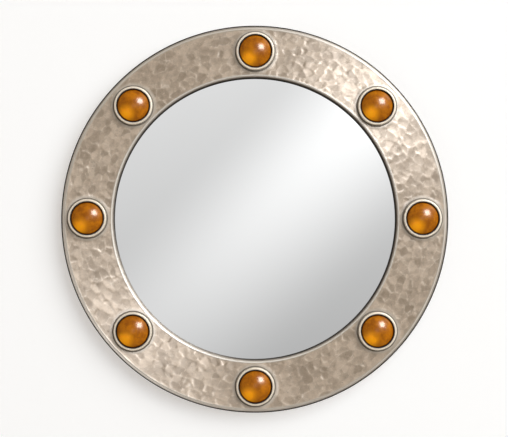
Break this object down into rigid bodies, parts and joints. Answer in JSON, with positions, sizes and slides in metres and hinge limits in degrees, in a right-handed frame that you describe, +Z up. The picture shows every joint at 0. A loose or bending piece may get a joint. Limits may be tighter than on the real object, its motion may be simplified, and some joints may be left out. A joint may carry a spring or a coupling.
{
  "type": "round wall mirror",
  "caption": "Round wall mirror in a flat hammered metal ring set with domed glass cabochons in raised bezels, with a rebated backing ring, turn buttons and D-ring hangers behind.",
  "frame": {"origin": "centre of the back board's rear face, which is flush with the backing ring's rear face", "axes": "+Z up as it hangs, +Y from the face towards the wall, +X to the right as seen from the front"},
  "size_m": [0.5, 0.0371, 0.5],
  "materials": {
    "hammered_metal": "hammered warm pewter-toned sheet, softly burnished",
    "bezel_metal": "turned and finely filed, pewter-toned",
    "amber_glass": "polished, mottled amber brown",
    "mirror": "polished silvered glass",
    "fibreboard": "bare, fine fibres",
    "foam": "closed-cell foam sheet",
    "hardboard": "smooth pressed face",
    "plated_steel": "zinc plated, slightly dull",
    "rubber": "matt"
  },
  "bodies": {
    "frame": {"frame_face": "hammered_metal", "backing_ring": "fibreboard", "mirror_glass": "mirror", "packing_sheet": "foam", "back_board": "hardboard", "bezel_1": "bezel_metal", "cabochon_1": "amber_glass", "bezel_screw_1": "plated_steel", "bezel_2": "bezel_metal", "cabochon_2": "amber_glass", "bezel_screw_2": "plated_steel", "bezel_3": "bezel_metal", "cabochon_3": "amber_glass", "bezel_screw_3": "plated_steel", "bezel_4": "bezel_metal", "cabochon_4": "amber_glass", "bezel_screw_4": "plated_steel", "bezel_5": "bezel_metal", "cabochon_5": "amber_glass", "bezel_screw_5": "plated_steel", "bezel_6": "bezel_metal", "cabochon_6": "amber_glass", "bezel_screw_6": "plated_steel", "bezel_7": "bezel_metal", "cabochon_7": "amber_glass", "bezel_screw_7": "plated_steel", "bezel_8": "bezel_metal", "cabochon_8": "amber_glass", "bezel_screw_8": "plated_steel", "turn_button_screw_1": "plated_steel", "turn_button_screw_2": "plated_steel", "turn_button_screw_3": "plated_steel", "turn_button_screw_4": "plated_steel", "turn_button_screw_5": "plated_steel", "turn_button_screw_6": "plated_steel", "hanger_strap_left": "plated_steel", "wall_bumper_left": "rubber", "hanger_strap_right": "plated_steel", "wall_bumper_right": "rubber", "hanger_screw_1": "plated_steel", "hanger_screw_2": "plated_steel", "hanger_screw_3": "plated_steel", "hanger_screw_4": "plated_steel"},
    "turn_button_1": {"turn_button_1": "plated_steel"},
    "turn_button_2": {"turn_button_2": "plated_steel"},
    "turn_button_3": {"turn_button_3": "plated_steel"},
    "turn_button_4": {"turn_button_4": "plated_steel"},
    "turn_button_5": {"turn_button_5": "plated_steel"},
    "turn_button_6": {"turn_button_6": "plated_steel"},
    "hanger_ring_left": {"hanger_ring_left": "plated_steel"},
    "hanger_ring_right": {"hanger_ring_right": "plated_steel"}
  },
  "joints": [
    {"name": "turn_button_1_pivot", "type": "hinge", "parent": "frame", "child": "turn_button_1", "pos_m": [0.196, 0.00105, 0], "axis": [0, 1, 0], "continuous": true},
    {"name": "turn_button_2_pivot", "type": "hinge", "parent": "frame", "child": "turn_button_2", "pos_m": [0.098, 0.00105, 0.16974], "axis": [0, 1, 0], "continuous": true},
    {"name": "turn_button_3_pivot", "type": "hinge", "parent": "frame", "child": "turn_button_3", "pos_m": [-0.098, 0.00105, 0.16974], "axis": [0, 1, 0], "continuous": true},
    {"name": "turn_button_4_pivot", "type": "hinge", "parent": "frame", "child": "turn_button_4", "pos_m": [-0.196, 0.00105, 0], "axis": [0, 1, 0], "continuous": true},
    {"name": "turn_button_5_pivot", "type": "hinge", "parent": "frame", "child": "turn_button_5", "pos_m": [-0.098, 0.00105, -0.16974], "axis": [0, 1, 0], "continuous": true},
    {"name": "turn_button_6_pivot", "type": "hinge", "parent": "frame", "child": "turn_button_6", "pos_m": [0.098, 0.00105, -0.16974], "axis": [0, 1, 0], "continuous": true},
    {"name": "hanger_ring_left_swing", "type": "hinge", "parent": "frame", "child": "hanger_ring_left", "pos_m": [-0.2, 0.00293, 0.09], "axis": [-1, 0, 0], "range_deg": [-3, 170]},
    {"name": "hanger_ring_right_swing", "type": "hinge", "parent": "frame", "child": "hanger_ring_right", "pos_m": [0.2, 0.00293, 0.09], "axis": [-1, 0, 0], "range_deg": [-3, 170]}
  ]
}
